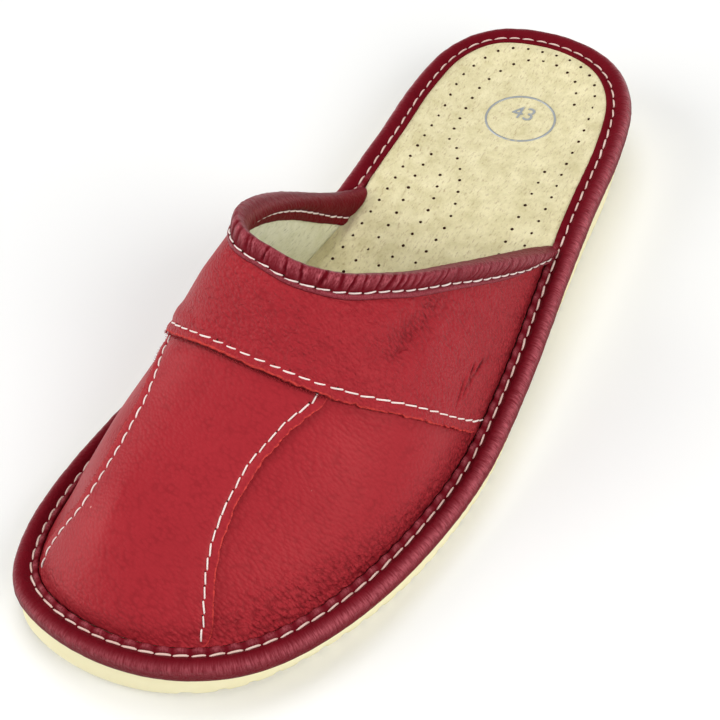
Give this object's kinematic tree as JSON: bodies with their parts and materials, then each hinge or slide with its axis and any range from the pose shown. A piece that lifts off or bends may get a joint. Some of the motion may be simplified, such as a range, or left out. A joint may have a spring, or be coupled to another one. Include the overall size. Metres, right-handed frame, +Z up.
{
  "type": "slip-on shoe",
  "caption": "Backless leather house slipper with closed toe, stitched instep band, padded collar binding, suede insole, rolled rand and ribbed foam wedge sole.",
  "frame": {"origin": "on the floor, under the centre of the shoe's box", "axes": "+Y from toe to heel, +X to the outer side of the left foot, +Z up"},
  "size_m": [0.1204, 0.2882, 0.0898],
  "materials": {
    "foam": "matte cream foam",
    "burgundy_leather": "glossy wrinkled burgundy leather",
    "suede": "napped pale suede",
    "red_leather": "soft satin red leather"
  },
  "bodies": {
    "root": {"outsole": "foam", "rand": "burgundy_leather", "insole": "suede", "upper": "red_leather", "centre_panel": "red_leather", "instep_band": "red_leather", "collar_binding": "burgundy_leather"}
  },
  "joints": []
}
